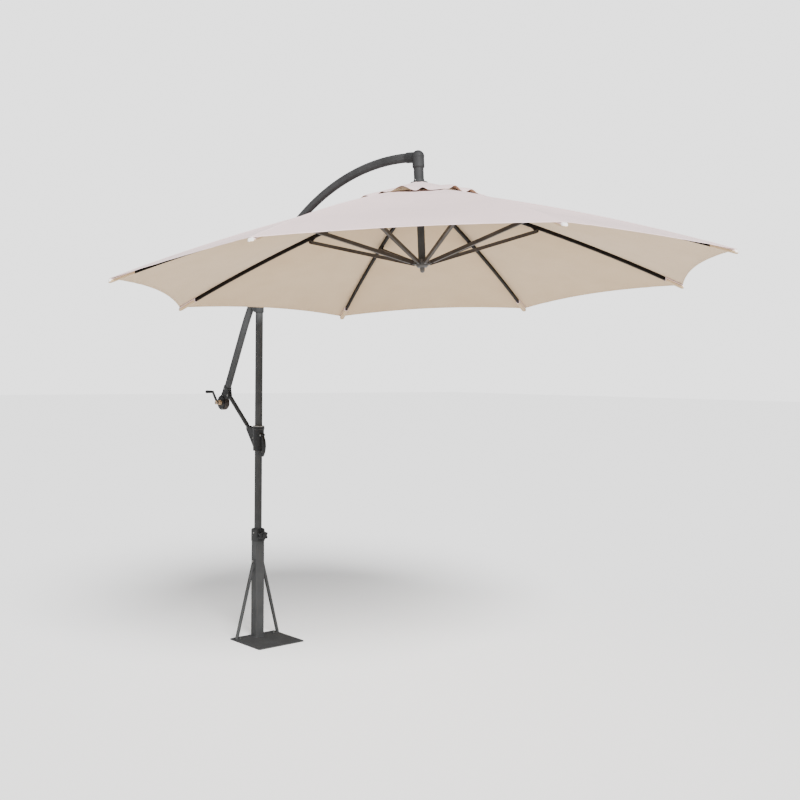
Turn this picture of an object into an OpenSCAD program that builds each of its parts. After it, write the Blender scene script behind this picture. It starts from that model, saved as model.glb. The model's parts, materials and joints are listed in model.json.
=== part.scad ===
// Cantilever parasol: a leaning boom on a swivelling mast carries an eight-rib canopy.
// Millimetres, +Z up. The origin is on the floor under the mast's axis, and +X points to the canopy.

/* [Base] */
// Side of the square base plate
plate_side = 320; // [290:5:340]
// Thickness of the base plate
plate_t = 6; // [5:1:8]
// Distance from the mast's axis to the plate's rear edge
plate_rear = 58; // [50:1:60]
// Distance from the plate's edges to its anchor holes
anchor_inset = 30; // [25:1:32]
// Radius of the four anchor holes
anchor_r = 5.5; // [4.5:0.5:6]
// Outer side of the square post
post_side = 57; // [56:1:58]
// Height of the collar's top above the floor
collar_top = 661; // [640:1:680]

/* [Mast] */
// Outer diameter of the round mast
mast_d = 45; // [44:0.5:46]
// Height of the mast's top end
mast_top = 2025; // [2015:1:2026]
// Height of the slider's lower end
slider_bottom = 1130; // [1126:1:1134]
// Height of the slider's upper end
slider_top = 1274; // [1270:1:1280]

/* [Boom] */
// Depth of the boom's section, in the plane of its bend
boom_h = 48; // [46:1:50]
// Width of the boom's section, across the plane of its bend
boom_w = 35; // [34:0.5:36]
// Wall of the boom tube
boom_wall = 2; // [1.5:0.5:3]
// Radius of the boom's bend
boom_r = 1530; // [1528:1:1532]
// Lean of the boom's straight lower length, from the vertical
boom_lean = 27; // [26.5:0.5:27.5]

/* [Canopy] */
// Radius of the open canopy at its rib tips
canopy_r = 1500; // [1400:10:1550]
// Distance from the mast's axis to the canopy's centre
hub_x = 1450; // [1445:1:1455]
// Height of the canopy's rim plane at its centre
rim_z = 2055; // [2050:1:2060]
// Tilt of the open canopy, outer side up
canopy_tilt = 4; // [3.5:0.5:4.5]
// Number of ribs
rib_count = 8; // [8:1:8]
// Rise of each rib's bow above its chord
rib_bow = 30; // [20:1:35]
// How far the hem curves in between two tips
hem_dip = 45; // [20:1:60]

/* [Hidden] */

$fn = 48;

steel = "dimgray";
casting = "darkslategray";
plastic = "black";
cloth = "antiquewhite";

running = 0.06;          // radial clearance of a shaft that turns in its bore
seat = 0.05;             // radial clearance of a part that stays put in its hole

// Base
plate_x = plate_side / 2 - plate_rear;
anchor_x = plate_side / 2 - anchor_inset;
post_in = post_side - 4;
post_end = collar_top - 11;
collar_side = post_side + 6;
knob_z = collar_top - 38;
stay_foot_y = 146;
stay_top_z = 440;
stay_r = 10.5;
bush_z = 150;
bush_floor = 10;

// Mast and slider
mast_r = mast_d / 2;
mast_wall = 1.8;
head_low = mast_top - 65;
head_r = mast_r + 4.5;
slider_r = 33;
slider_collar_r = 36;
bush_r = mast_r + 3.1;   // wide enough for the slider's small sideways shift as the boom tilts
bush_out = 29.5;
screw_z = [1164, 1205];
lever_centre = [-30, 1162];
lever_r = 98;
lever_pivot = [41, 1226];

// Boom: a straight lower length that runs into an arc about bend
bend = [1193, 1162];
joint_start = [bend[0] - boom_r * cos(boom_lean), bend[1] + boom_r * sin(boom_lean)];
pivot_x = -60;
pivot = [pivot_x, bend[1] + sqrt(pow(boom_r, 2) - pow(bend[0] - pivot_x, 2))];
foot_end = 430;          // the straight length, from the tangent point to the tube's lower end
foot_low = foot_end + 12;
winch_down = 503;        // from the tangent point to the winch's axle
strut_pin = [40, -431];  // in the boom's line frame
strut_top = [
    joint_start[0] + strut_pin[0] * cos(boom_lean) + strut_pin[1] * sin(boom_lean),
    joint_start[1] - strut_pin[0] * sin(boom_lean) + strut_pin[1] * cos(boom_lean)
];
strut_foot = [-105, 1262];
strut_len = norm(strut_foot - strut_top);
strut_lean = atan2(strut_foot[0] - strut_top[0], strut_top[1] - strut_foot[1]);
strut_r = 13;
eye_gap = 15;            // between the two ears that hold an eye of the strut
eye_t = 14;
bend_joint = 0.02;       // hairline between the straight length and the bend
tube_end_a = 83.2;       // direction of the tube's upper end, seen from bend
socket_a = [82.1, 85];

// Winch
drum_r = 17;
cord_r = 2;
cord_in = drum_r + cord_r;    // the cord runs this far inside the boom's centre line
cover_r = 45;
cover_half = 20;
axle_r = 6;
crank_len = 85;
crank_y = -46;
crank_lean = 38;              // the crank arm's lean to the rear, at rest

// Canopy frame: origin at the rim plane's centre, +Z along the canopy's axis
bend_local = [
    (bend[0] - hub_x) * cos(canopy_tilt) + (bend[1] - rim_z) * sin(canopy_tilt),
    -(bend[0] - hub_x) * sin(canopy_tilt) + (bend[1] - rim_z) * cos(canopy_tilt)
];
pulley_r = 16;                // to the centre of the cord in its groove
pulley_x = -pulley_r;
pulley_z = bend_local[1] + sqrt(pow(boom_r - cord_in - pulley_r, 2) - pow(pulley_x - bend_local[0], 2));
elbow_z = 623;
elbow_r = 30;
hinge_r = 45;
hinge_z = 445;
runner_z = 95;
link_r = 635;                 // radius of the pin between rib and stretcher
link_z = (hinge_z + runner_z) / 2;
link_len = norm([link_r - hinge_r, link_z - hinge_z]);
link_slope = atan2(hinge_z - link_z, link_r - hinge_r);
hub_r = 54;
post_r = 18.5;
post_high = 560;
spigot_r = 20.5;
pin_r = 2.5;
rib_w = 12;
rib_h = 18;
rib_wall = 1;
fork_w = 15;
fork_gap = 12;
lug_w = 11;
first_rib = 22.5;
rib_step = 360 / rib_count;

// Each rib is an arc from the hub's pin to the rim
rib_tip_z = -10;
rib_chord = norm([canopy_r - hinge_r, rib_tip_z - hinge_z]);
rib_slope = atan2(hinge_z - rib_tip_z, canopy_r - hinge_r);
rib_arc_r = (pow(rib_chord / 2, 2) + pow(rib_bow, 2)) / (2 * rib_bow);
rib_centre = [
    (hinge_r + canopy_r) / 2 - (rib_arc_r - rib_bow) * sin(rib_slope),
    (hinge_z + rib_tip_z) / 2 - (rib_arc_r - rib_bow) * cos(rib_slope)
];
rib_half = asin(rib_chord / 2 / rib_arc_r);
rib_root_slope = rib_slope - rib_half;
rib_end_r = canopy_r - 14;
link_tilt = 90 - rib_a(link_r);
lug_high = rib_arc_r - norm([link_r, link_z] - rib_centre) - rib_h / 2 + rib_wall / 2;

// Cloth
cloth_t = 1.6;
cloth_lift = rib_h / 2 + 2.3; // from a rib's centre line to the underside of the cloth
vent_r = 180;
flap_in = 40;
flap_out = 345;
flap_in_z = 490;
flap_out_z = 392;
half_panel = rib_step / 2 - 0.05;

// Direction of a rib's point at a radius, seen from the centre of its arc
function rib_a(r) = acos((r - rib_centre[0]) / rib_arc_r);
// Height of a rib's centre line at a radius, in the canopy frame
function rib_z(r) = rib_centre[1] + sqrt(pow(rib_arc_r, 2) - pow(r - rib_centre[0], 2));
// Radius of the cloth between two ribs, where the ribs are at radius r
function chord_r(r, a) = r * cos(rib_step / 2) / cos(rib_step / 2 - abs(a));
function cloth_point(r, a, z) = [chord_r(r, a) * cos(a), chord_r(r, a) * sin(a), z];
function hem_r(a) = canopy_r - hem_dip * (1 - pow(1 - abs(a) / (rib_step / 2), 2));
function main_point(u, a, up) =
    let (r = vent_r + (hem_r(a) - vent_r) * u) cloth_point(r, a, rib_z(r) + cloth_lift + up);
function flap_point(u, a, up) =
    let (r = flap_in + (flap_out - flap_in) * u)
    cloth_point(r, a, flap_in_z + (flap_out_z - flap_in_z) * u + up);

// ---- Frames and shared shapes ----

module head_frame() {
    translate([hub_x, 0, rim_z]) rotate([0, -canopy_tilt, 0]) children();
}

module rib_frame(k) {
    head_frame() rotate([0, 0, first_rib + (k - 1) * rib_step]) children();
}

// +Z runs up the boom's straight length, +X points to the mast, from the tangent point
module boom_frame() {
    translate([joint_start[0], 0, joint_start[1]]) rotate([0, boom_lean, 0]) children();
}

// -Z runs down the strut from its upper pin
module strut_frame() {
    translate([strut_top[0], 0, strut_top[1]]) rotate([0, -strut_lean, 0]) children();
}

// A 2D outline in X and Z, given a thickness along Y from y0 to y1
module slab(y0, y1) {
    translate([0, y1, 0]) rotate([90, 0, 0]) linear_extrude(y1 - y0) children();
}

// A rod along Y through (x, z), from y0 to y1
module rod_y(p, r, y0, y1) {
    translate([p[0], y1, p[1]]) rotate([90, 0, 0]) cylinder(h = y1 - y0, r = r);
}

module rounded(l, w, r) {
    square([l - 2 * r, w], center = true);
    square([l, w - 2 * r], center = true);
    for (x = [-1, 1], y = [-1, 1]) translate([x * (l / 2 - r), y * (w / 2 - r)]) circle(r);
}

module obround(l, w) {
    square([l - w, w], center = true);
    for (s = [-1, 1]) translate([s * (l - w) / 2, 0]) circle(w / 2);
}

// A bar of obround section that follows the boom's arc, between two directions seen from bend
module boom_arc(from, to, l, w, off = 0) {
    translate([bend[0], 0, bend[1]]) rotate([90, 0, 0]) rotate([0, 0, from])
        rotate_extrude(angle = to - from, $fn = 360) translate([boom_r + off, 0]) obround(l, w);
}

module hex_bolt(r, length, head_r, head_h) {
    cylinder(h = length, r = r);
    translate([0, 0, length - 0.01]) cylinder(h = head_h, r = head_r, $fn = 6);
}

module pan_screw(r, length, head_r, head_h) {
    difference() {
        union() {
            cylinder(h = length, r = r);
            translate([0, 0, length]) cylinder(h = head_h, r1 = head_r, r2 = head_r * 0.7);
        }
        translate([0, 0, length + head_h - 1.2]) cylinder(h = 2, r = r * 0.7, $fn = 6);
    }
}

// A closed solid between an upper and a lower grid of points, rows outward and columns along the angle
module sheet_solid(top, low) {
    rows = len(top);
    cols = len(top[0]);
    n = rows * cols;
    points = concat([for (row = top) each row], [for (row = low) each row]);
    faces = concat(
        [for (i = [0:rows - 2], j = [0:cols - 2])
            each let (a = i * cols + j) [[a, a + 1, a + cols + 1], [a, a + cols + 1, a + cols]]],
        [for (i = [0:rows - 2], j = [0:cols - 2])
            each let (a = n + i * cols + j) [[a, a + cols + 1, a + 1], [a, a + cols, a + cols + 1]]],
        [for (j = [0:cols - 2]) each [[j, n + j + 1, j + 1], [j, n + j, n + j + 1]]],
        [for (j = [0:cols - 2])
            each let (a = (rows - 1) * cols + j) [[a, a + 1, n + a + 1], [a, n + a + 1, n + a]]],
        [for (i = [0:rows - 2])
            each let (a = i * cols) [[a, a + cols, n + a + cols], [a, n + a + cols, n + a]]],
        [for (i = [0:rows - 2])
            each let (a = i * cols + cols - 1) [[a, n + a + cols, a + cols], [a, n + a, n + a + cols]]]
    );
    polyhedron(points = points, faces = faces);
}

// A tube of eight sides along a route in the plane of the boom
module cord_tube(route, r) {
    sides = 8;
    n = len(route);
    dir = [for (i = [0:n - 1])
        let (d = route[min(i + 1, n - 1)] - route[max(i - 1, 0)]) d / norm(d)];
    points = [for (i = [0:n - 1], s = [0:sides - 1])
        let (a = 360 * s / sides)
        [route[i][0] - dir[i][1] * r * cos(a), r * sin(a), route[i][1] + dir[i][0] * r * cos(a)]];
    walls = [for (i = [0:n - 2], s = [0:sides - 1])
        let (a = i * sides + s, b = i * sides + (s + 1) % sides) [a, b, b + sides, a + sides]];
    ends = [[for (s = [sides - 1:-1:0]) s], [for (s = [0:sides - 1]) (n - 1) * sides + s]];
    polyhedron(points = points, faces = concat(walls, ends));
}

// ---- Base ----

module base_plate() {
    color(steel) difference() {
        translate([plate_x, 0, 0]) linear_extrude(plate_t) rounded(plate_side, plate_side, 12);
        for (x = [-1, 1], y = [-1, 1])
            translate([plate_x + x * anchor_x, y * anchor_x, -1]) cylinder(h = plate_t + 2, r = anchor_r);
        for (s = [-1, 1]) translate([0, s * (stay_foot_y - 26), -1]) cylinder(h = plate_t + 2, r = 4 + seat);
    }
}

module base_post() {
    color(steel) difference() {
        translate([0, 0, plate_t]) linear_extrude(post_end - plate_t) rounded(post_side, post_side, 4);
        translate([0, 0, plate_t - 1]) linear_extrude(post_end) rounded(post_in, post_in, 2.5);
        translate([0, 0, knob_z]) rotate([0, 90, 0]) cylinder(h = 60, r = 5.3);
        rod_y([0, stay_top_z + 25], 4 + seat, -post_side, post_side);
        rod_y([0, collar_top - 25], 2.5 + seat, -post_side, post_side);
    }
}

module stay() {
    run = [0, post_side / 2 + 6 - stay_foot_y, stay_top_z + 6 - plate_t - 5];
    lean = atan2(-run[1], run[2]);
    translate([0, stay_foot_y, plate_t + 5]) rotate([lean, 0, 0]) cylinder(h = norm(run), r = stay_r);
    translate([0, stay_foot_y - 14, plate_t]) linear_extrude(5) difference() {
        rounded(24, 44, 8);
        translate([0, -12]) circle(4 + seat);
    }
    translate([0, post_side / 2, stay_top_z + 10]) rotate([-90, 0, 0]) linear_extrude(5) difference() {
        rounded(24, 52, 8);
        translate([0, -15]) circle(4 + seat);
    }
}

module base_stays() {
    color(steel) {
        difference() {
            stay();
            translate([-30, -post_side, 0]) cube([60, post_side * 1.5, 600]);
        }
        mirror([0, 1, 0]) difference() {
            stay();
            translate([-30, -post_side, 0]) cube([60, post_side * 1.5, 600]);
        }
    }
}

module base_bolts() {
    color("silver") for (s = [-1, 1]) {
        translate([0, s * (stay_foot_y - 26), 1.05]) hex_bolt(4, plate_t + 4, 7.5, 5);
        translate([0, s * (post_side / 2 - 3.95), stay_top_z + 25]) rotate([-s * 90, 0, 0])
            hex_bolt(4, 9, 7.5, 5);
        translate([0, s * (post_side / 2 - 2), collar_top - 25]) rotate([-s * 90, 0, 0])
            pan_screw(2.5, 5, 5, 2.5);
    }
}

module post_collar() {
    color(casting) difference() {
        union() {
            translate([0, 0, collar_top - 76]) linear_extrude(70) rounded(collar_side, collar_side, 8);
            translate([0, 0, collar_top - 6]) linear_extrude(6) rounded(collar_side - 6, collar_side - 6, 8);
            translate([0, 0, knob_z]) rotate([0, 90, 0]) cylinder(h = collar_side / 2 + 7, r = 16);
        }
        translate([0, 0, collar_top - 77]) linear_extrude(66) rounded(post_side + 0.1, post_side + 0.1, 4);
        translate([0, 0, collar_top - 12]) cylinder(h = 20, r = mast_r + running);
        translate([0, 0, knob_z]) rotate([0, 90, 0]) cylinder(h = 80, r = 5 + running);
        for (s = [-1, 1]) translate([0, s * post_side / 3, collar_top - 25]) rotate([-s * 90, 0, 0])
            cylinder(h = 40, r = 2.5 + seat);
    }
}

module foot_bush() {
    color(plastic) difference() {
        translate([0, 0, bush_z]) linear_extrude(40) rounded(post_in - 0.1, post_in - 0.1, 2.5);
        translate([0, 0, bush_z + bush_floor]) cylinder(h = 60, r = mast_r + running);
        translate([0, 0, bush_z - 1]) cylinder(h = 60, r = 12);
    }
}

module clamp_knob() {
    color(plastic) translate([0, 0, knob_z]) rotate([0, 90, 0]) {
        translate([0, 0, mast_r + 0.4]) cylinder(h = 30, r = 5);
        translate([0, 0, collar_side / 2 + 7.6]) cylinder(h = 6, r = 9);
        translate([0, 0, collar_side / 2 + 13]) {
            cylinder(h = 20, r = 23);
            for (a = [0:60:300]) rotate([0, 0, a]) translate([22, 0, 0]) cylinder(h = 20, r = 8.5);
            cylinder(h = 24, r = 13);
        }
    }
}

// ---- Mast ----

module mast_tube() {
    low = bush_z + bush_floor + 0.1;
    color(steel) difference() {
        translate([0, 0, low]) cylinder(h = mast_top - low, r = mast_r);
        translate([0, 0, low - 1]) cylinder(h = mast_top, r = mast_r - mast_wall);
    }
}

module head_ear(y0, y1) {
    slab(y0, y1) hull() {
        translate(pivot) circle(21, $fn = 32);
        translate([-head_r + 4, head_low + 15]) square([30, 50]);
        translate([-head_r + 6, head_low + 2]) square([26, 4]);
    }
}

module mast_head() {
    wall = boom_w / 2 + 0.5;
    color(casting) difference() {
        union() {
            translate([0, 0, head_low]) cylinder(h = mast_top + 5 - head_low, r = head_r);
            head_ear(wall, wall + 7);
            head_ear(-wall - 7, -wall);
        }
        translate([0, 0, head_low - 1]) cylinder(h = mast_top - head_low + 1.1, r = mast_r + seat);
        rod_y(pivot, 6 + seat, -60, 60);
    }
}

module boom_pivot_bolt() {
    outer = boom_w / 2 + 7.6;
    color("silver") translate([pivot[0], 0, pivot[1]]) rotate([90, 0, 0]) {
        translate([0, 0, -outer - 9]) hex_bolt(6, 2 * outer + 9, 11, 7);
        translate([0, 0, -outer - 7.5]) cylinder(h = 7.5, r = 11, $fn = 6);
    }
}

// ---- Boom ----

module boom_tube() {
    l_in = boom_h - 2 * boom_wall;
    w_in = boom_w - 2 * boom_wall;
    color(steel) {
        boom_frame() difference() {
            translate([0, 0, -foot_end]) linear_extrude(foot_end - bend_joint) obround(boom_h, boom_w);
            translate([0, 0, -foot_end - 1]) linear_extrude(foot_end + 2) obround(l_in, w_in);
        }
        difference() {
            boom_arc(tube_end_a, 180 - boom_lean, boom_h, boom_w);
            boom_arc(tube_end_a - 1, 181 - boom_lean, l_in, w_in);
            rod_y(pivot, 9 + seat, -60, 60);
        }
    }
}

module boom_pivot_sleeve() {
    color("silver") difference() {
        rod_y(pivot, 9, -boom_w / 2, boom_w / 2);
        rod_y(pivot, 6 + running, -60, 60);
    }
}

module foot_ear(y0, y1) {
    slab(y0, y1) hull() {
        translate(strut_pin) circle(11, $fn = 32);
        translate([16, -foot_low + 3]) square([8, foot_low - 397]);
    }
}

module boom_foot() {
    half_gap = eye_gap / 2;
    color(casting) boom_frame() difference() {
        union() {
            translate([0, 0, -foot_low]) linear_extrude(foot_low - 390) obround(boom_h + 8, boom_w + 8);
            foot_ear(half_gap, half_gap + 6);
            foot_ear(-half_gap - 6, -half_gap);
            translate([-12, -6, -foot_low - 18]) cube([24, 12, 20]);
        }
        translate([0, 0, -foot_end]) linear_extrude(foot_end) obround(boom_h + 0.1, boom_w + 0.1);
        translate([cord_in, 0, -foot_low - 1]) cylinder(h = 20, r = 3.4);
        rod_y(strut_pin, 4 + seat, -40, 40);
        rod_y([0, -foot_low - 10], 2.5 + seat, -40, 40);
        for (s = [-1, 1]) rod_y([0, -404], 2.5 + seat, s > 0 ? 10 : -40, s > 0 ? 40 : -10);
    }
}

module boom_screws() {
    foot_y = boom_w / 2 + 4;
    color("silver") {
        boom_frame() for (s = [-1, 1]) translate([0, s * (foot_y - 3.9), -404])
            rotate([-s * 90, 0, 0]) pan_screw(2.5, 3.9, 4.5, 2.4);
        boom_frame() for (p = [[0, -foot_low - 10], [-30, -528], [30, -528]])
            translate([p[0], 17.9 - cover_half - 13, p[1]]) rotate([90, 0, 0]) pan_screw(2.5, 4.9, 4.5, 2.4);
        head_frame() for (s = [-1, 1]) translate([0, s * 19, 507]) rotate([-s * 90, 0, 0])
            pan_screw(2.5, 9, 4.5, 2.4);
    }
}

module boom_pins() {
    ear = eye_gap / 2 + 6;
    color("silver") {
        boom_frame() {
            rod_y(strut_pin, 4, -ear - 1, ear + 1);
            for (s = [-1, 1]) rod_y(strut_pin, 7, s > 0 ? ear + 0.1 : -ear - 3, s > 0 ? ear + 3 : -ear - 0.1);
        }
        head_frame() rod_y([pulley_x, pulley_z], 3, -21, 21);
    }
}

// One half of the round winch housing, with the neck that takes the boom foot's tongue
module winch_cover(side) {
    neck_top = -foot_low - 0.1;
    boom_frame() difference() {
        union() {
            rod_y([0, -winch_down], cover_r, side > 0 ? 0 : -cover_half + 4, side > 0 ? cover_half - 4 : 0);
            rod_y([0, -winch_down], cover_r - 4, side > 0 ? 0 : -cover_half, side > 0 ? cover_half : 0);
            translate([-26, side > 0 ? 0 : -15, -472]) cube([52, 15, neck_top + 472]);
            rod_y([0, -winch_down], 15, side > 0 ? 0 : -cover_half, side > 0 ? cover_half : 0);
        }
        rod_y([0, -winch_down], cover_r - 11, side > 0 ? -1 : -cover_half + 3, side > 0 ? cover_half - 3 : 1);
        rod_y([0, -winch_down], axle_r + running, side > 0 ? -1 : -30, side > 0 ? cover_half - 2 : 1);
        translate([-12.1, -6.1, -foot_low - 18.1]) cube([24.2, 12.2, 30]);
        translate([cord_in, 0, -490]) cylinder(h = 60, r = 4);
        rod_y([0, -foot_low - 10], 2.5 + seat, -30, 10);
        for (x = [-30, 30]) rod_y([x, -528], 2.5 + seat, -30, 10);
    }
}

module winch_cover_left() {
    color(plastic) winch_cover(-1);
}

module winch_cover_right() {
    color(plastic) winch_cover(1);
}

function line_point(x, z) = [
    joint_start[0] + x * cos(boom_lean) + z * sin(boom_lean),
    joint_start[1] - x * sin(boom_lean) + z * cos(boom_lean)
];
function head_point(x, z) = [
    hub_x + x * cos(canopy_tilt) - z * sin(canopy_tilt),
    rim_z + x * sin(canopy_tilt) + z * cos(canopy_tilt)
];
function around(centre, r, a) = [centre[0] + r * cos(a), centre[1] + r * sin(a)];

// The cord leaves the drum, follows the boom's inner side, turns over the pulley and drops to the runner
wrap_a = atan2(pulley_z - bend_local[1], pulley_x - bend_local[0]);
cord_turn = 180 - boom_lean - wrap_a - canopy_tilt;
cord_route = concat(
    [for (z = [-winch_down, -430, -330, -220, -110]) line_point(cord_in, z)],
    [for (i = [0:18]) around(bend, boom_r - cord_in, 180 - boom_lean - i * cord_turn / 18)],
    [for (a = [wrap_a - 8:-14:6]) head_point(pulley_x + pulley_r * cos(a), pulley_z + pulley_r * sin(a))],
    [for (z = [pulley_z, 500, 400, 300, 200, 104]) head_point(0, z)]
);

module winch_cord() {
    color("ivory") {
        cord_tube(cord_route, cord_r);
        boom_frame() difference() {
            rod_y([0, -winch_down], drum_r + 2 * cord_r, -6.5, 6.5);
            rod_y([0, -winch_down], drum_r + 0.1, -10, 10);
        }
    }
}

module elbow() {
    color(casting) difference() {
        union() {
            head_frame() {
                translate([0, 0, elbow_z + 5]) sphere(r = elbow_r + 1);
                translate([0, 0, 575]) cylinder(h = elbow_z - 570, r = elbow_r);
                translate([0, 0, 567]) cylinder(h = 8.1, r1 = 25, r2 = elbow_r);
                translate([0, 0, 512]) cylinder(h = 60, r = 25);
                translate([0, 0, 498.2]) cylinder(h = 14, r1 = 29, r2 = 26);
            }
            boom_arc(socket_a[0], socket_a[1], boom_h + 6, boom_w + 6);
        }
        boom_arc(tube_end_a - 0.01, socket_a[1] + 1, boom_h + 0.1, boom_w + 0.1);
        boom_arc(81.2, tube_end_a, 10.1, 10, -cord_in);
        head_frame() {
            translate([0, 0, 490]) cylinder(h = 82, r = post_r + 0.4);
            translate([0, 0, 490]) cylinder(h = 40, r = spigot_r + seat);
            translate([0, 0, 560]) cylinder(h = 30, r = 4);
            rod_y([pulley_x, pulley_z], pulley_r + 5.5, -7, 7);
            rod_y([pulley_x, pulley_z], 3 + seat, -21.1, 21.1);
            for (s = [-1, 1]) rod_y([0, 507], 2.5 + seat, s > 0 ? 15 : -40, s > 0 ? 40 : -15);
        }
    }
}

module elbow_pulley() {
    color(plastic) head_frame() translate([pulley_x, 0, pulley_z]) rotate([90, 0, 0]) difference() {
        cylinder(h = 12, r = pulley_r + 3, center = true);
        rotate_extrude() translate([pulley_r + 0.5, 0]) circle(r = 3);
        rotate_extrude() translate([pulley_r + 0.5, -3]) square([6, 6]);
        cylinder(h = 20, r = 3 + running, center = true);
    }
}

module top_hub() {
    color(casting) head_frame() difference() {
        union() {
            translate([0, 0, hinge_z - 11]) cylinder(h = 22, r = hub_r);
            translate([0, 0, hinge_z]) cylinder(h = 53, r = 29);
            translate([0, 0, 490]) cylinder(h = 38, r = spigot_r);
            translate([0, 0, 493.5]) cylinder(h = 3, r = 44);
        }
        cylinder(h = 600, r = post_r + running);
        for (k = [0:rib_count - 1]) rotate([0, 0, first_rib + k * rib_step]) {
            translate([hinge_r - 11, -rib_w / 2 - 0.3, hinge_z - 20]) cube([40, rib_w + 0.6, 40]);
            rod_y([hinge_r, hinge_z], pin_r + seat, -12, 12);
        }
        for (s = [-1, 1]) rod_y([0, 507], 2.5 + seat, s > 0 ? 15 : -40, s > 0 ? 40 : -15);
    }
}

module hub_pins() {
    color("silver") head_frame() for (k = [0:rib_count - 1]) rotate([0, 0, first_rib + k * rib_step])
        rod_y([hinge_r, hinge_z], pin_r, -11.5, 11.5);
}

// ---- Winch and crank ----

module winch_spool() {
    color("silver") boom_frame() difference() {
        union() {
            rod_y([0, -winch_down], drum_r, -9, 9);
            for (s = [-1, 1]) rod_y([0, -winch_down], 30, s > 0 ? 7 : -9, s > 0 ? 9 : -7);
            rod_y([0, -winch_down], axle_r, -58, 16);
        }
        rod_y([22, -winch_down], 2.2, -20, 20);
    }
}

module crank_boss() {
    color("tan") boom_frame() difference() {
        union() {
            rod_y([0, -winch_down], 15, -34, -21);
            rod_y([0, -winch_down], 12, -41, -33);
            rod_y([0, -winch_down], 12, -57, -51.1);
        }
        rod_y([0, -winch_down], axle_r + seat, -70, 0);
    }
}

// +Z runs along the crank arm, from the winch's axle
module crank_frame() {
    axle = line_point(0, -winch_down);
    translate([axle[0], 0, axle[1]]) rotate([0, -crank_lean, 0]) children();
}

module crank_arm() {
    color(steel) crank_frame() difference() {
        union() {
            slab(-51, -41.1) {
                circle(11);
                translate([-6, 0]) square([12, crank_len]);
                translate([0, crank_len]) circle(7);
            }
            rod_y([0, crank_len], 4, -92, crank_y);
        }
        rod_y([0, 0], axle_r + seat, -70, 0);
    }
}

module crank_grip() {
    color(plastic) crank_frame() translate([0, -53, crank_len]) rotate([90, 0, 0]) difference() {
        union() {
            cylinder(h = 36, r1 = 8, r2 = 10);
            translate([0, 0, 36]) sphere(r = 10);
        }
        translate([0, 0, -1]) cylinder(h = 41, r = 4 + running);
    }
}

// ---- Strut ----

module strut_tube() {
    color(steel) strut_frame() difference() {
        translate([0, 0, -strut_len + 30]) cylinder(h = strut_len - 58, r = strut_r);
        translate([0, 0, -strut_len]) cylinder(h = strut_len, r = strut_r - 1.5);
    }
}

// A flat eye about the origin, with the plug that goes into the tube below it
module strut_end(bore) {
    difference() {
        union() {
            rod_y([0, 0], 12, -eye_t / 2, eye_t / 2);
            translate([-9, -eye_t / 2, -28]) cube([18, eye_t, 28]);
            translate([0, 0, -48]) cylinder(h = 22, r = strut_r - 1.5 - seat);
        }
        rod_y([0, 0], bore, -20, 20);
    }
}

module strut_ends() {
    color(casting) strut_frame() {
        strut_end(4 + running);
        translate([0, 0, -strut_len]) rotate([0, 180, 0]) translate([0, 0, -2]) intersection() {
            translate([0, 0, 2]) strut_end(4 + running);
            translate([-20, -20, -46]) cube([40, 40, 61]);
        }
    }
}

// ---- Slider ----

module slider_ear(y0, y1) {
    slab(y0, y1) hull() {
        translate(strut_foot) circle(14, $fn = 32);
        translate([-slider_r + 6, slider_bottom + 6]) square([6, slider_top - slider_bottom - 28]);
    }
}

module lever_cheek(y0, y1) {
    slab(y0, y1) {
        translate(lever_pivot) circle(8);
        translate([20, lever_pivot[1] - 8]) square([lever_pivot[0] - 20, 16]);
    }
}

// Half of the slider's housing, on the side of y that side gives
module slider_shell(side) {
    half_gap = eye_gap / 2;
    difference() {
        union() {
            translate([0, 0, slider_bottom]) cylinder(h = slider_top - slider_bottom, r = slider_r);
            translate([0, 0, slider_top - 14]) cylinder(h = 14, r = slider_collar_r);
            translate([0, 0, slider_top - 19]) cylinder(h = 5, r1 = slider_r, r2 = slider_collar_r);
            slider_ear(side > 0 ? half_gap : -half_gap - 6, side > 0 ? half_gap + 6 : -half_gap);
            lever_cheek(side > 0 ? 9.3 : -14, side > 0 ? 14 : -9.3);
        }
        translate([0, 0, slider_bottom - 1]) cylinder(h = 300, r = bush_r + 1);
        for (z = [slider_bottom, slider_top - 30])
            translate([0, 0, z]) translate([0, 0, z > 1200 ? 4 : -1]) cylinder(h = 27, r = bush_out + seat);
        translate([-150, side > 0 ? -100 : 0, slider_bottom - 5]) cube([300, 100, 300]);
        rod_y(strut_foot, 4 + seat, -40, 40);
        rod_y(lever_pivot, 3 + seat, -40, 40);
        for (z = screw_z) {
            rod_y([-16, z], 2.6, -60, -25);
            rod_y([-16, z], 5, -60, -29.55);
        }
    }
}

module slider_shell_left() {
    color(plastic) slider_shell(-1);
}

module slider_shell_right() {
    color(plastic) slider_shell(1);
}

module slider_bushes() {
    color("gainsboro") for (z = [slider_bottom + 1, slider_top - 26]) translate([0, 0, z]) difference() {
        cylinder(h = 25, r = bush_out);
        translate([0, 0, -1]) cylinder(h = 27, r = bush_r);
    }
}

module slider_screws() {
    color("silver") for (z = screw_z)
        translate([-16, -25.6, z]) rotate([90, 0, 0]) pan_screw(2.5, 4, 4.5, 2.4);
}

module slider_pins() {
    ear = eye_gap / 2 + 6;
    color("silver") {
        rod_y(strut_foot, 4, -ear - 1, ear + 1);
        for (s = [-1, 1]) rod_y(strut_foot, 7, s > 0 ? ear + 0.1 : -ear - 3, s > 0 ? ear + 3 : -ear - 0.1);
        rod_y(lever_pivot, 3, -14.5, 14.5);
    }
}

module lock_lever() {
    color(plastic) difference() {
        union() {
            slab(-9, 9) {
                intersection() {
                    difference() {
                        translate(lever_centre) circle(lever_r, $fn = 96);
                        translate(lever_centre) circle(lever_r - 12, $fn = 96);
                    }
                    translate([42, 1080]) square([60, 160]);
                }
                translate(lever_pivot) circle(8);
            }
        }
        rod_y(lever_pivot, 3 + running, -20, 20);
    }
}

// ---- Runner and canopy ----

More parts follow.
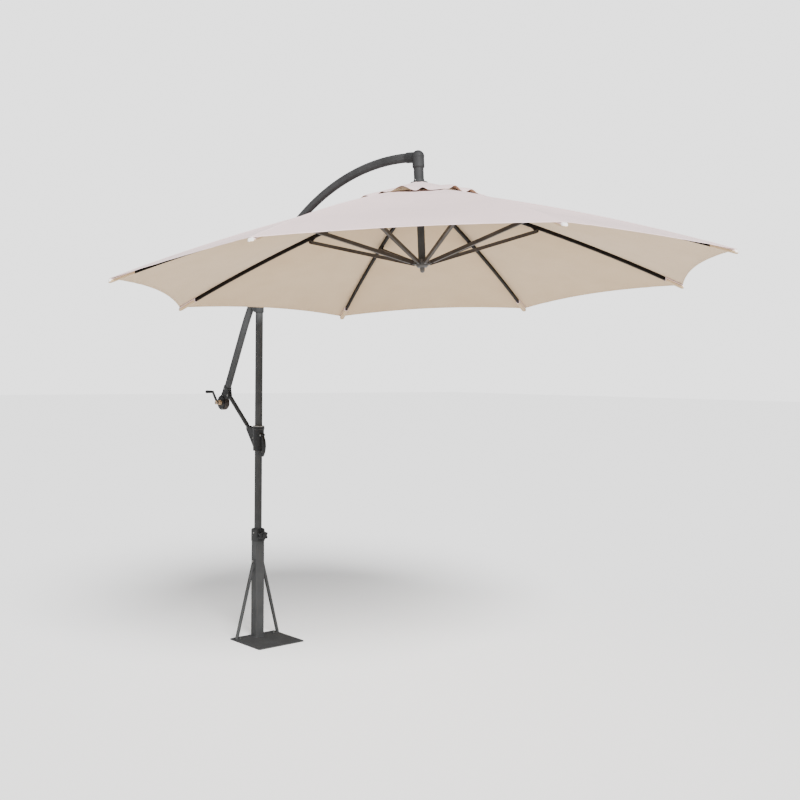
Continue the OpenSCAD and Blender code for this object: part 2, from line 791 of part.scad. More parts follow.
// The two heads of a rivet that goes through a stretcher's fork
module rivet_heads(p) {
    near = fork_w / 2 + 0.4;
    far = fork_w / 2 + 2.2;
    rod_y(p, 4.4, near, far);
    rod_y(p, 4.4, -far, -near);
}

module runner_hub() {
    color(casting) head_frame() {
        difference() {
            union() {
                translate([0, 0, runner_z - 15]) cylinder(h = 32, r = 30);
                translate([0, 0, runner_z - 22]) cylinder(h = 7.1, r1 = 22, r2 = 30);
                translate([0, 0, runner_z - 36]) cylinder(h = 16, r = 12);
                translate([0, 0, runner_z - 36]) sphere(r = 12);
                for (k = [0:rib_count - 1]) rotate([0, 0, first_rib + k * rib_step]) {
                    translate([20, -lug_w / 2, runner_z - 8]) cube([hinge_r - 20, lug_w, 16]);
                    rod_y([hinge_r, runner_z], 8, -lug_w / 2, lug_w / 2);
                    rod_y([hinge_r, runner_z], pin_r, -fork_w / 2 - 1.2, fork_w / 2 + 1.2);
                    rivet_heads([hinge_r, runner_z]);
                }
            }
            translate([0, 0, runner_z - 5]) cylinder(h = 60, r = post_r + seat);
        }
    }
}

module canopy_post() {
    low = runner_z - 4.9;
    color(steel) head_frame() difference() {
        translate([0, 0, low]) cylinder(h = post_high - low, r = post_r);
        translate([0, 0, low - 1]) cylinder(h = post_high, r = post_r - 2);
    }
}

module rib_arc(from, to, h, w) {
    translate([rib_centre[0], 0, rib_centre[1]]) rotate([90, 0, 0]) rotate([0, 0, from])
        rotate_extrude(angle = to - from, $fn = 720) translate([rib_arc_r, 0]) square([h, w], center = true);
}

module rib(k) {
    cap = 16;
    color("black") rib_frame(k) {
        difference() {
            union() {
                rib_arc(rib_a(rib_end_r), rib_a(hinge_r + 18), rib_h, rib_w);
                slab(-lug_w / 2, lug_w / 2) translate([link_r, link_z]) {
                    circle(7);
                    rotate(-link_tilt) polygon([[-7.5, 0], [8, 0], [9, lug_high], [-34, lug_high]]);
                }
            }
            rib_arc(rib_a(rib_end_r - 6), rib_a(hinge_r + 10), rib_h - 2 * rib_wall, rib_w - 2 * rib_wall);
        }
        difference() {
            translate([hinge_r, 0, hinge_z]) rotate([0, rib_root_slope, 0]) {
                rod_y([0, 0], 8.6, -5.8, 5.8);
                translate([0, -5.8, -8.6]) cube([36, 11.6, 17.2]);
            }
            rod_y([hinge_r, hinge_z], pin_r + running, -20, 20);
        }
        rib_arc(rib_a(rib_end_r + 2), rib_a(rib_end_r - cap), rib_h + 1.2, rib_w + 1.2);
        rod_y([link_r, link_z], pin_r, -fork_w / 2 - 1.2, fork_w / 2 + 1.2);
        rivet_heads([link_r, link_z]);
    }
}

// A U channel from the runner's pin up to the rib's pin, open on its upper side
module stretcher(k) {
    r = 9;
    color("black") rib_frame(k) translate([hinge_r, 0, runner_z]) rotate([0, -link_slope, 0]) difference() {
        slab(-fork_w / 2, fork_w / 2) {
            translate([0, -r]) square([link_len, 2 * r]);
            circle(r);
            translate([link_len, 0]) circle(r);
        }
        translate([-20, -fork_gap / 2, -r + 1.5]) cube([link_len + 40, fork_gap, 2 * r]);
        translate([-20, -fork_gap / 2, -20]) cube([36, fork_gap, 40]);
        translate([link_len - 18, -fork_gap / 2, -20]) cube([40, fork_gap, 40]);
        for (x = [0, link_len]) rod_y([x, 0], pin_r + running, -20, 20);
    }
}

// The cloth that hangs on one rib: half of each neighbouring panel, and its share of the vent flap
module canopy(k) {
    angles = [for (j = [-2:2]) j * half_panel / 2];
    rows = 9;
    color(cloth) rib_frame(k) {
        sheet_solid(
            [for (i = [0:rows]) [for (a = angles) main_point(i / rows, a, cloth_t)]],
            [for (i = [0:rows]) [for (a = angles) main_point(i / rows, a, 0)]]
        );
        sheet_solid(
            [for (i = [0:2]) [for (a = angles) flap_point(i / 2, a, cloth_t)]],
            [for (i = [0:2]) [for (a = angles) flap_point(i / 2, a, 0)]]
        );
    }
}

base_plate();
base_post();
base_stays();
base_bolts();
post_collar();
foot_bush();
clamp_knob();
mast_tube();
mast_head();
boom_pivot_bolt();
boom_tube();
boom_pivot_sleeve();
boom_foot();
boom_screws();
boom_pins();
winch_cover_left();
winch_cover_right();
winch_cord();
elbow();
elbow_pulley();
top_hub();
hub_pins();
winch_spool();
crank_boss();
crank_arm();
crank_grip();
strut_tube();
strut_ends();
slider_shell_left();
slider_shell_right();
slider_bushes();
slider_screws();
slider_pins();
lock_lever();
runner_hub();
canopy_post();
for (k = [1:rib_count]) {
    rib(k);
    stretcher(k);
    canopy(k);
}
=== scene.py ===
"""Cantilever parasol: the looks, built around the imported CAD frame.

Metres, +Z up. The origin is on the floor under the mast's axis, and +X points to the canopy.
The canopy frame has its origin at the centre of the rim, and its +Z runs along the canopy's axis.
"""

import json
import math

import bmesh
import bpy
from mathutils import Matrix, Vector, noise


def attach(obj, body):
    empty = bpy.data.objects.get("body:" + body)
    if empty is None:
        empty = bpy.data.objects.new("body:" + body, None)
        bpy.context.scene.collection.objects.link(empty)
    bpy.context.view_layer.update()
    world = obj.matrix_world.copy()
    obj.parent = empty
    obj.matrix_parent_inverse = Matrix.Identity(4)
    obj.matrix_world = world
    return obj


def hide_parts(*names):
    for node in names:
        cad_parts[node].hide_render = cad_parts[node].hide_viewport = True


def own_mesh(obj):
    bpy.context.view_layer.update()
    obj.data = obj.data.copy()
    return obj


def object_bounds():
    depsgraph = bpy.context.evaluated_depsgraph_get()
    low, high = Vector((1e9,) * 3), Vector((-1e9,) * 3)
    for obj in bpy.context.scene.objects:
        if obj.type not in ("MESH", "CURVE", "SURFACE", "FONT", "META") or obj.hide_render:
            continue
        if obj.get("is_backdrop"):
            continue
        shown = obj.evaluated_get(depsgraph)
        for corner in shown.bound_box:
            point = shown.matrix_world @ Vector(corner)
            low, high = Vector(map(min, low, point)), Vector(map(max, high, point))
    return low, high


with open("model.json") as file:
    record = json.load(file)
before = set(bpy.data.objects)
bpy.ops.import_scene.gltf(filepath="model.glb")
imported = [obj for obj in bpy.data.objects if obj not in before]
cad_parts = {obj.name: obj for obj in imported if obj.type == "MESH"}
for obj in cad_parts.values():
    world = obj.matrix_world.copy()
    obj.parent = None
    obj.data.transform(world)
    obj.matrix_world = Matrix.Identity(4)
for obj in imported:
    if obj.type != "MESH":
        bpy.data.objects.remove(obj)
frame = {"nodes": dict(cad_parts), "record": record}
cad_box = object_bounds()

# ---- Dimensions shared with the CAD model ----

RIBS = 8
FIRST_RIB = math.radians(22.5)
RIB_STEP = 2 * math.pi / RIBS
HALF = RIB_STEP / 2
HUB_X, RIM_Z = 1.450, 2.055
TILT = math.radians(4)
HINGE_R, HINGE_Z = 0.045, 0.445
CANOPY_R, TIP_Z, RIB_BOW = 1.500, -0.010, 0.030
VENT_R = 0.180
FLAP_IN, FLAP_OUT = 0.040, 0.345
BOOM_BEND = Vector((1.193, 0, 1.162))
BOOM_R = 1.530
LEAN = math.radians(27)
WINCH_DOWN = 0.503
POST_HALF = 0.0285         # half the side of the square post
PLATE_TOP = 0.006

CANOPY = Matrix.Translation((HUB_X, 0, RIM_Z)) @ Matrix.Rotation(-TILT, 4, "Y")
LINE_START = BOOM_BEND + Vector((-BOOM_R * math.cos(LEAN), 0, BOOM_R * math.sin(LEAN)))
BOOM_LINE = Matrix.Translation(LINE_START) @ Matrix.Rotation(LEAN, 4, "Y")


def rib_frame(k):
    """The frame of rib k, 1 to 8: +X runs out along the rib."""
    return CANOPY @ Matrix.Rotation(FIRST_RIB + (k - 1) * RIB_STEP, 4, "Z")


# ---- The rib's arc ----

CHORD = math.hypot(CANOPY_R - HINGE_R, TIP_Z - HINGE_Z)
SLOPE = math.atan2(HINGE_Z - TIP_Z, CANOPY_R - HINGE_R)
ARC_R = ((CHORD / 2) ** 2 + RIB_BOW**2) / (2 * RIB_BOW)
ARC_X = (HINGE_R + CANOPY_R) / 2 - (ARC_R - RIB_BOW) * math.sin(SLOPE)
ARC_Z = (HINGE_Z + TIP_Z) / 2 - (ARC_R - RIB_BOW) * math.cos(SLOPE)


def rib_z(r):
    """Height of a rib's centre line at radius r, in the canopy frame."""
    return ARC_Z + math.sqrt(ARC_R**2 - (r - ARC_X) ** 2)


# ---- Camera ----

CAMERA_AT = (5.26946, -3.49645, 1.60413)
CAMERA_TURN = (0.850247, -0.025776, 0.009644)    # yaw, pitch and roll, in radians
CAMERA_LENS = 46.904


def add_camera():
    """A camera where the photograph was taken from."""
    yaw, pitch, roll = CAMERA_TURN
    forward = Vector((-math.sin(yaw) * math.cos(pitch), math.cos(yaw) * math.cos(pitch), math.sin(pitch)))
    right = Vector((math.cos(yaw), math.sin(yaw), 0))
    up = right.cross(forward)
    turned_right = right * math.cos(roll) + up * math.sin(roll)
    turned_up = up * math.cos(roll) - right * math.sin(roll)
    cam = bpy.data.objects.new("camera", bpy.data.cameras.new("camera"))
    bpy.context.scene.collection.objects.link(cam)
    basis = Matrix((turned_right, turned_up, -forward)).transposed()
    cam.matrix_world = Matrix.Translation(CAMERA_AT) @ basis.to_4x4()
    cam.data.sensor_width = 36
    cam.data.lens = CAMERA_LENS
    cam.data.clip_end = 200
    bpy.context.scene.camera = cam


add_camera()


# ---- Materials ----

class Shader:
    """A node material with short calls for the nodes it uses."""

    def __init__(self, name):
        self.material = bpy.data.materials.new(name)
        self.material.use_nodes = True
        self.tree = self.material.node_tree
        self.surface = self.tree.nodes["Principled BSDF"]

    def node(self, kind, **settings):
        made = self.tree.nodes.new(kind)
        for key, value in settings.items():
            setattr(made, key, value)
        return made

    def put(self, socket, value):
        """Links value to socket where it is another socket, and sets it otherwise."""
        if isinstance(value, bpy.types.NodeSocket):
            self.tree.links.new(value, socket)
        else:
            socket.default_value = value

    def coords(self):
        return self.node("ShaderNodeTexCoord").outputs["Object"]

    def uv(self, name):
        return self.node("ShaderNodeUVMap", uv_map=name).outputs["UV"]

    def scaled(self, vector, scale):
        made = self.node("ShaderNodeMapping")
        self.put(made.inputs["Vector"], vector)
        made.inputs["Scale"].default_value = scale
        return made.outputs["Vector"]

    def noise(self, vector, scale, detail=3.0, roughness=0.5):
        made = self.node("ShaderNodeTexNoise")
        self.put(made.inputs["Vector"], vector)
        made.inputs["Scale"].default_value = scale
        made.inputs["Detail"].default_value = detail
        made.inputs["Roughness"].default_value = roughness
        return made.outputs["Fac"]

    def math(self, operation, a, b=0.0):
        made = self.node("ShaderNodeMath", operation=operation)
        self.put(made.inputs[0], a)
        self.put(made.inputs[1], b)
        return made.outputs[0]

    def split(self, vector):
        made = self.node("ShaderNodeSeparateXYZ")
        self.put(made.inputs[0], vector)
        return made.outputs

    def spread(self, value, low, high, out_low=0.0, out_high=1.0):
        """Maps value from low..high to out_low..out_high."""
        made = self.node("ShaderNodeMapRange")
        self.put(made.inputs["Value"], value)
        for key, number in zip(("From Min", "From Max", "To Min", "To Max"), (low, high, out_low, out_high)):
            made.inputs[key].default_value = number
        return made.outputs["Result"]

    def mix(self, share, a, b):
        """Colour a where share is 0, and b where it is 1."""
        made = self.node("ShaderNodeMix", data_type="RGBA")
        self.put(made.inputs[0], share)
        self.put(made.inputs[6], a if isinstance(a, bpy.types.NodeSocket) else (*a, 1))
        self.put(made.inputs[7], b if isinstance(b, bpy.types.NodeSocket) else (*b, 1))
        return made.outputs[2]

    def bump(self, height, distance, strength=1.0, normal=None):
        made = self.node("ShaderNodeBump")
        self.put(made.inputs["Height"], height)
        made.inputs["Distance"].default_value = distance
        made.inputs["Strength"].default_value = strength
        if normal is not None:
            self.put(made.inputs["Normal"], normal)
        return made.outputs["Normal"]

    def finish(self, colour, roughness, normal=None, **fixed):
        """Fills the surface shader. fixed sets its other sockets, by name with _ for spaces."""
        self.put(self.surface.inputs["Base Color"], colour)
        self.put(self.surface.inputs["Roughness"], roughness)
        if normal is not None:
            self.put(self.surface.inputs["Normal"], normal)
        for key, value in fixed.items():
            self.surface.inputs[key.replace("_", " ")].default_value = value
        return self.material


def powder_coat(name, low, high, roughness=0.52):
    """Textured powder coat: fine orange peel, mottled tone, and a few pale scuffs."""
    s = Shader(name)
    at = s.coords()
    tone = s.noise(at, 9, 4)
    peel = s.noise(at, 900, 2)
    pits = s.noise(at, 240, 3)
    scuff = s.spread(s.noise(at, 55, 6, 0.7), 0.66, 0.74)
    colour = s.mix(s.spread(tone, 0.3, 0.7), low, high)
    colour = s.mix(s.math("MULTIPLY", scuff, 0.35), colour, tuple(min(1, 2.2 * c + 0.02) for c in high))
    shine = s.spread(pits, 0.3, 0.7, roughness - 0.07, roughness + 0.1)
    normal = s.bump(peel, 0.0002, 0.35, s.bump(pits, 0.0004, 0.25))
    return s.finish(colour, shine, normal, Specular_IOR_Level=0.12)


def moulded_plastic(name, low, high, roughness=0.5):
    """Moulded plastic with a fine spark-eroded grain."""
    s = Shader(name)
    at = s.coords()
    tone = s.noise(at, 14, 3)
    grain = s.noise(at, 700, 2, 0.6)
    colour = s.mix(s.spread(tone, 0.3, 0.7), low, high)
    shine = s.spread(grain, 0.3, 0.7, roughness - 0.05, roughness + 0.1)
    return s.finish(colour, shine, s.bump(grain, 0.0004, 0.5), Specular_IOR_Level=0.3)


def zinc_plate(name):
    """Dulled zinc plate with turned lines and a bloom."""
    s = Shader(name)
    at = s.coords()
    bloom = s.noise(at, 60, 5, 0.65)
    lines = s.noise(s.scaled(at, (300, 3000, 300)), 1, 2)
    colour = s.mix(s.spread(bloom, 0.35, 0.7), (0.16, 0.16, 0.16), (0.28, 0.275, 0.26))
    shine = s.spread(bloom, 0.3, 0.7, 0.36, 0.55)
    return s.finish(colour, shine, s.bump(lines, 0.0002, 0.3), Metallic=1.0)


def braid(name):
    """Braided cord: two crossed sets of slanting strands."""
    s = Shader(name)
    x, y, z = s.split(s.coords())
    run = s.math("ADD", x, z)
    pitch = 2600           # radians of the strands' pattern per metre
    one = s.math("SINE", s.math("MULTIPLY", s.math("ADD", run, y), pitch))
    two = s.math("SINE", s.math("MULTIPLY", s.math("SUBTRACT", run, y), pitch))
    weave = s.math("MAXIMUM", one, two)
    colour = s.mix(s.spread(weave, -1, 1), (0.42, 0.40, 0.36), (0.72, 0.70, 0.64))
    return s.finish(colour, 0.8, s.bump(weave, 0.0004, 0.7), Sheen_Weight=0.2)


SEAM_HALF = 0.0065         # half the width of the doubled seam over a rib
HEM_BAND = 0.018           # width of the canopy's doubled hem
THREAD = 0.0011            # from one thread of the cloth to the next
STITCH = 0.0042            # length of a stitch and the gap after it
STITCH_SHOWN = 0.68        # share of that length where the stitch shows
STITCH_HALF = 0.0005       # half the width of a stitch
SEAM_STITCH = 0.0048       # from a seam's middle to its stitch rows
HEM_STITCH = 0.0155        # from the canopy's edge to its stitch row


def stitch_rows(s, across, along, offset):
    """1 on the dashes of a stitch row at that distance across a seam, and 0 elsewhere."""
    near = s.math("LESS_THAN", s.math("ABSOLUTE", s.math("SUBTRACT", across, offset)), STITCH_HALF)
    dash = s.math("LESS_THAN", s.math("FRACT", s.math("MULTIPLY", along, 1 / STITCH)), STITCH_SHOWN)
    return s.math("MULTIPLY", near, dash)


def canopy_cloth(name, low, high, stitch, seam_tone):
    """Woven polyester: threads both ways, slubs, soft uneven dye, and stitch rows by seams and hems."""
    s = Shader(name)
    run, side, _ = s.split(s.uv("cloth"))
    hem, _, _ = s.split(s.uv("edges"))
    at = s.uv("cloth")
    warp = s.math("SINE", s.math("MULTIPLY", run, 2 * math.pi / THREAD))
    weft = s.math("SINE", s.math("MULTIPLY", side, 2 * math.pi / THREAD))
    threads = s.math("ADD", warp, weft)
    warp_slubs = s.noise(s.scaled(at, (40, 1100, 1)), 1, 2)
    weft_slubs = s.noise(s.scaled(at, (1100, 40, 1)), 1, 2)
    slubs = s.math("ADD", warp_slubs, weft_slubs)
    tone = s.noise(at, 5, 4, 0.6)
    colour = s.mix(s.spread(tone, 0.25, 0.75), low, high)
    darker = tuple(0.93 * c for c in low)
    colour = s.mix(s.math("MULTIPLY", s.spread(slubs, 0.85, 1.2), 0.35), colour, darker)
    edge = s.math("ABSOLUTE", side)
    seam = s.spread(edge, SEAM_HALF, SEAM_HALF + 0.001, 1, 0)
    hem_band = s.spread(hem, HEM_BAND, HEM_BAND + 0.001, 1, 0)
    doubled = s.math("MAXIMUM", seam, hem_band)
    colour = s.mix(s.math("MULTIPLY", doubled, 0.6), colour, seam_tone)
    seam_rows = stitch_rows(s, edge, run, SEAM_STITCH)
    hem_rows = stitch_rows(s, hem, side, HEM_STITCH)
    rows = s.math("MAXIMUM", seam_rows, hem_rows)
    colour = s.mix(rows, colour, stitch)
    normal = s.bump(threads, 0.00012, 0.35, s.bump(slubs, 0.0003, 0.5))
    normal = s.bump(rows, 0.0006, 0.8, normal)
    return s.finish(colour, 0.85, normal, Sheen_Weight=0.25, Sheen_Roughness=0.5, Specular_IOR_Level=0.2)


STEEL = powder_coat("coated_steel", (0.034, 0.0345, 0.035), (0.050, 0.051, 0.052))
CASTING = powder_coat("casting", (0.022, 0.0225, 0.023), (0.034, 0.035, 0.036), roughness=0.6)
RIB_COAT = powder_coat("rib_coat", (0.0035, 0.0025, 0.002), (0.007, 0.005, 0.004), roughness=0.5)
STRETCHER_COAT = powder_coat("stretcher_coat", (0.034, 0.027, 0.022), (0.060, 0.050, 0.042), roughness=0.42)
# Runner hub: a lighter copy of the casting, painted light so the hub shows bright in the canopy's shade.
RUNNER_PAINTED_LIGHT = powder_coat("runner_painted_light", (0.075, 0.072, 0.070), (0.120, 0.116, 0.112), roughness=0.4)
BLACK = moulded_plastic("black_plastic", (0.005, 0.005, 0.0055), (0.010, 0.010, 0.011))
GRIP = moulded_plastic("grip_rubber", (0.040, 0.027, 0.021), (0.065, 0.046, 0.037), roughness=0.6)
BUSH = moulded_plastic("bush_plastic", (0.20, 0.20, 0.20), (0.28, 0.28, 0.27))
TAN = moulded_plastic("tan_plastic", (0.36, 0.24, 0.14), (0.48, 0.34, 0.21))
ZINC = zinc_plate("zinc")
CORD = braid("cord")
CLOTH_OUT = canopy_cloth(
    "cloth_outside",
    low=(0.74, 0.570, 0.570),
    high=(0.80, 0.620, 0.620),
    stitch=(0.83, 0.70, 0.70),
    seam_tone=(0.75, 0.59, 0.59),
)
CLOTH_IN = canopy_cloth(
    "cloth_inside",
    low=(0.47, 0.330, 0.190),
    high=(0.53, 0.385, 0.232),
    stitch=(0.58, 0.44, 0.285),
    seam_tone=(0.45, 0.31, 0.18),
)
CLOTH_PATCH = canopy_cloth(
    "cloth_patch",
    low=(0.80, 0.76, 0.75),
    high=(0.86, 0.83, 0.82),
    stitch=(0.70, 0.66, 0.65),
    seam_tone=(0.82, 0.79, 0.78),
)
FLAP_INSIDE = canopy_cloth(
    "flap_inside",
    low=(0.46, 0.30, 0.16),
    high=(0.54, 0.36, 0.20),
    stitch=(0.58, 0.42, 0.26),
    seam_tone=(0.44, 0.29, 0.16),
)

SLOT_MATERIALS = {
    "coated_steel": STEEL,
    "casting": CASTING,
    "black_plastic": BLACK,
    "bush_plastic": BUSH,
    "tan_plastic": TAN,
    "zinc": ZINC,
    "rib_coat": RIB_COAT,
    "cord": CORD,
    "canopy_cloth": CLOTH_OUT,
}


def finish_cad_nodes():
    """Gives every CAD node the material of its slot in the record."""
    for part in frame["record"]["subparts"]:
        node = frame["nodes"][part["node"]]
        material = SLOT_MATERIALS[part["material_slot"]]
        if part["node"].startswith("stretcher_"):
            material = STRETCHER_COAT
        # The runner hub takes the lighter copy of the casting: painted light.
        if part["node"] == "runner_hub":
            material = RUNNER_PAINTED_LIGHT
        node.data.materials.clear()
        node.data.materials.append(material)


finish_cad_nodes()


# ---- Mesh helpers ----

def add_object(name, mesh, body):
    """Adds a mesh that rides on a body."""
    obj = bpy.data.objects.new(name, mesh)
    bpy.context.scene.collection.objects.link(obj)
    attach(obj, body)
    return obj


def smooth(mesh, angle=35):
    """Shades a mesh smooth, with sharp edges where it bends by more than angle, in degrees."""
    mesh.polygons.foreach_set("use_smooth", [True] * len(mesh.polygons))
    mesh.set_sharp_from_angle(angle=math.radians(angle))
    mesh.update()


def shell_mesh(name, top, low, facts, materials):
    """A closed cloth mesh between two grids of points, top and low.

    facts holds each grid point's UV pairs, by map name.
    """
    rows, cols = len(top), len(top[0])
    count = rows * cols
    points = [p for grid in (top, low) for row in grid for p in row]

    def at(layer, i, j):
        return layer * count + i * cols + j

    faces, slots = [], []
    for i in range(rows - 1):
        for j in range(cols - 1):
            faces.append((at(0, i, j), at(0, i + 1, j), at(0, i + 1, j + 1), at(0, i, j + 1)))
            slots.append(0)
            faces.append((at(1, i, j), at(1, i, j + 1), at(1, i + 1, j + 1), at(1, i + 1, j)))
            slots.append(1)
    border = [(0, j) for j in range(cols)] + [(i, cols - 1) for i in range(1, rows)]
    border += [(rows - 1, j) for j in range(cols - 2, -1, -1)] + [(i, 0) for i in range(rows - 2, 0, -1)]
    for (i, j), (m, n) in zip(border, border[1:] + border[:1]):
        faces.append((at(0, i, j), at(0, m, n), at(1, m, n), at(1, i, j)))
        slots.append(0)
    mesh = bpy.data.meshes.new(name)
    mesh.from_pydata(points, [], faces)
    for material in materials:
        mesh.materials.append(material)
    mesh.polygons.foreach_set("material_index", slots)
    for map_name, grid in facts.items():
        layer = mesh.uv_layers.new(name=map_name)
        flat = [pair for row in grid for pair in row] * 2
        for loop in mesh.loops:
            layer.data[loop.index].uv = flat[loop.vertex_index]
    smooth(mesh)
    return mesh


# ---- Canopy ----

# The cloth's own sizes, close to the CAD model's but not the same
HEM_DIP = 0.052            # how far the hem curves in between two tips
CLOTH_LIFT = 0.0108        # from a rib's centre line to the underside of the cloth
CLOTH_T = 0.0012
FLAP_IN_Z, FLAP_OUT_Z = 0.4915, 0.3885
SEAM_T = 0.0009            # extra height of the seam over a rib
SEAM_FLAT = 0.0055         # half the width of the seam's flat top
SEAM_RAMP = 0.0015         # width of the slope beside it
HEM_T = 0.0007             # extra height of a doubled hem
HEM_RAMP = 0.0012          # width of the step from doubled to single cloth
VENT_BAND = 0.014          # width of the doubled edge of the vent
VENT_RAMP = 0.003
CLOTH_RUN = 1.04           # length along the cloth, as a share of the length seen from above
PANEL_SAG = 0.028          # depth of the hollow in each panel
FOLD_HEIGHT = 0.0022       # height of the tension folds


def eased(x):
    """Runs smoothly from 0 to 1 as x does, and stays there outside."""
    x = min(1.0, max(0.0, x))
    return x * x * (3 - 2 * x)


def sides(full):
    """Distances from the rib's line across half a panel, close together at the seam."""
    fixed = [0, 0.0025, SEAM_FLAT, SEAM_HALF, 0.0085, 0.013]
    cells = 15
    return fixed + [fixed[-1] + (full - fixed[-1]) * ((j + 1) / cells) ** 1.15 for j in range(cells)]


def across(full):
    """Distances from the rib's line across both half panels, negative on one side."""
    half = sides(full)
    return [-d for d in reversed(half[1:])] + half


def run_steps(start, end, band, cells):
    """Radii from start to end, close together at the doubled hem."""
    last = end - band - 0.003
    even = [start + (last - start) * i / cells for i in range(cells + 1)]
    return even + [end - band, end - band + HEM_RAMP, end - band / 2, end]


def chord_place(r, d):
    """A point of the cloth at distance d from the rib's line, along the straight line to the next rib."""
    return r - abs(d) * math.sin(HALF), d * math.cos(HALF)


def panel_sag(q, u):
    """How far the panel sags.

    q is 0 at a rib and 1 half-way to the next. u is 0 at the vent and 1 at the hem.
    """
    return PANEL_SAG * (1 - (1 - q) ** 2) * math.sin(math.pi * u) ** 2


def wrinkles(k, q, u, d):
    """Small tension folds: along the seams, and fanning out from the rib's tip and from the hub."""
    side = 1 if d >= 0 else -1
    panel = (k if side > 0 else k - 1) % RIBS
    seed = Vector((panel * 7.3, 0, 0))
    fan = noise.noise(seed + Vector((q * 5.0, u * 1.5, 3.1)))
    tip = noise.noise(seed + Vector((q * 16.0, u * 2.0, 8.7))) * eased((u - 0.62) / 0.35)
    edge = 4 * q * (1 - q) * (1 - q)
    from_hub = FOLD_HEIGHT * fan * min(1.0, 6 * q) * (1 - 0.6 * q) * 4 * u * (1 - u)
    return from_hub + FOLD_HEIGHT * tip * edge


def seam_height(d):
    """Extra height of the doubled seam at distance d from the rib's line."""
    return SEAM_T * (1 - eased((abs(d) - SEAM_FLAT) / SEAM_RAMP))


def hem_height(from_edge, band):
    """Extra height of a doubled hem, band wide, at a distance from its edge."""
    return HEM_T * (1 - eased((from_edge - band + HEM_RAMP) / HEM_RAMP))


HEM_SHARE = 0.1            # share of a panel's length, at its hem, where the rows run parallel to the hem


def main_grids(k):
    """Top and bottom points of the cloth that hangs on rib k, and each point's UV pairs."""
    rows_at_rib = run_steps(VENT_R, CANOPY_R, HEM_BAND, 34)
    columns = len(across(1.0))
    top, low, cloth_uv, edge_uv = [], [], [], []
    for r0 in rows_at_rib:
        u0 = (r0 - VENT_R) / (CANOPY_R - VENT_R)
        top_row, low_row, cloth_row, edge_row = [], [], [], []
        for j in range(columns):
            q = 0.0
            r = r0
            for _ in range(3):
                full = r * math.sin(HALF)
                d = across(full)[j]
                q = abs(d) / full
                hem = CANOPY_R - HEM_DIP * (1 - (1 - q) ** 2)
                if u0 > 1 - HEM_SHARE:
                    r = hem - (CANOPY_R - r0)
                else:
                    reach = hem - HEM_SHARE * (CANOPY_R - VENT_R) - VENT_R
                    r = VENT_R + reach * (u0 / (1 - HEM_SHARE))
            x, y = chord_place(r, d)
            z = rib_z(r) + CLOTH_LIFT - panel_sag(q, u0) + wrinkles(k, q, u0, d)
            from_hem = hem - r
            vent_edge = HEM_T * (1 - eased((r - VENT_R - VENT_BAND) / VENT_RAMP))
            up = CLOTH_T + max(seam_height(d), hem_height(from_hem, HEM_BAND), vent_edge)
            top_row.append(rib_frame(k) @ Vector((x, y, z + up)))
            low_row.append(rib_frame(k) @ Vector((x, y, z)))
            cloth_row.append((r * CLOTH_RUN, d))
            edge_row.append((from_hem, r - VENT_R))
        top.append(top_row)
        low.append(low_row)
        cloth_uv.append(cloth_row)
        edge_uv.append(edge_row)
    return top, low, {"cloth": cloth_uv, "edges": edge_uv}


def add_main_cloth(k):
    """The canopy's cloth over rib k: half of both neighbouring panels."""
    top, low, facts = main_grids(k)
    mesh = shell_mesh(f"canopy_sheet_{k}", top, low, facts, [CLOTH_OUT, CLOTH_IN])
    return add_object(f"canopy_sheet_{k}", mesh, f"rib_{k}")


# Where the vent flap's hem lifts: direction in the canopy frame, height, and half width in degrees
FLAP_LIFTS = [
    (-165, 0.022, 9), (-143, 0.014, 6), (-124, 0.020, 8), (-98, 0.018, 8),
    (-76, 0.012, 5), (-57, 0.026, 8), (-40, 0.016, 4), (-11, 0.026, 7),
    (8, 0.022, 7), (36, 0.015, 6), (59, 0.024, 8), (83, 0.015, 6),
    (103, 0.022, 8), (127, 0.017, 6), (149, 0.023, 8), (170, 0.015, 5),
]
FLAP_T = 0.001
FLAP_HEM = 0.012
FLAP_REACH = 0.125         # how far down the panel the flap's hem comes, as a share of its length


def flap_lift(direction):
    """Height of the flap's free hem over its resting line, in a direction in degrees."""
    total = 0.0
    for centre, height, width in FLAP_LIFTS:
        away = (direction - centre + 180) % 360 - 180
        total += height * math.exp(-1.4 * (away / width) ** 2)
    return total


def flap_columns(full):
    """Distances across the flap over one rib, evenly spaced where it is narrow."""
    count = len(across(1.0))
    even = [full * (2 * j / (count - 1) - 1) for j in range(count)]
    share = eased((full - 0.02) / 0.05)
    return even if share == 0 else [e + (w - e) * share for e, w in zip(even, across(max(full, 0.03)))]


def flap_grids(k):
    """Top and bottom points of the vent flap over rib k.

    Its hem is sewn down at the ribs and lifts between them.
    """
    top, low, cloth_uv, edge_uv = [], [], [], []
    for r in run_steps(FLAP_IN, FLAP_OUT, FLAP_HEM, 18):
        u = (r - FLAP_IN) / (FLAP_OUT - FLAP_IN)
        full = r * math.sin(HALF)
        top_row, low_row, cloth_row, edge_row = [], [], [], []
        for d in flap_columns(full):
            q = min(1.0, abs(d) / full)
            x, y = chord_place(r, max(-full, min(full, d)))
            direction = math.degrees(FIRST_RIB + (k - 1) * RIB_STEP + math.atan2(y, x))
            free = 1 - math.exp(-((q / 0.13) ** 2))
            z = FLAP_IN_Z + (FLAP_OUT_Z - FLAP_IN_Z) * (0.9 * u + 0.1 * u * u)
            z -= panel_sag(q, FLAP_REACH) * u * u
            z += flap_lift(direction) * free * eased((u - 0.40) / 0.60)
            doubled = max(seam_height(d), hem_height(FLAP_OUT - r, FLAP_HEM))
            top_row.append(rib_frame(k) @ Vector((x, y, z + FLAP_T + doubled)))
            low_row.append(rib_frame(k) @ Vector((x, y, z)))
            cloth_row.append((r * CLOTH_RUN, d))
            edge_row.append((FLAP_OUT - r + HEM_BAND - FLAP_HEM, r))
        top.append(top_row)
        low.append(low_row)
        cloth_uv.append(cloth_row)
        edge_uv.append(edge_row)
    return top, low, {"cloth": cloth_uv, "edges": edge_uv}


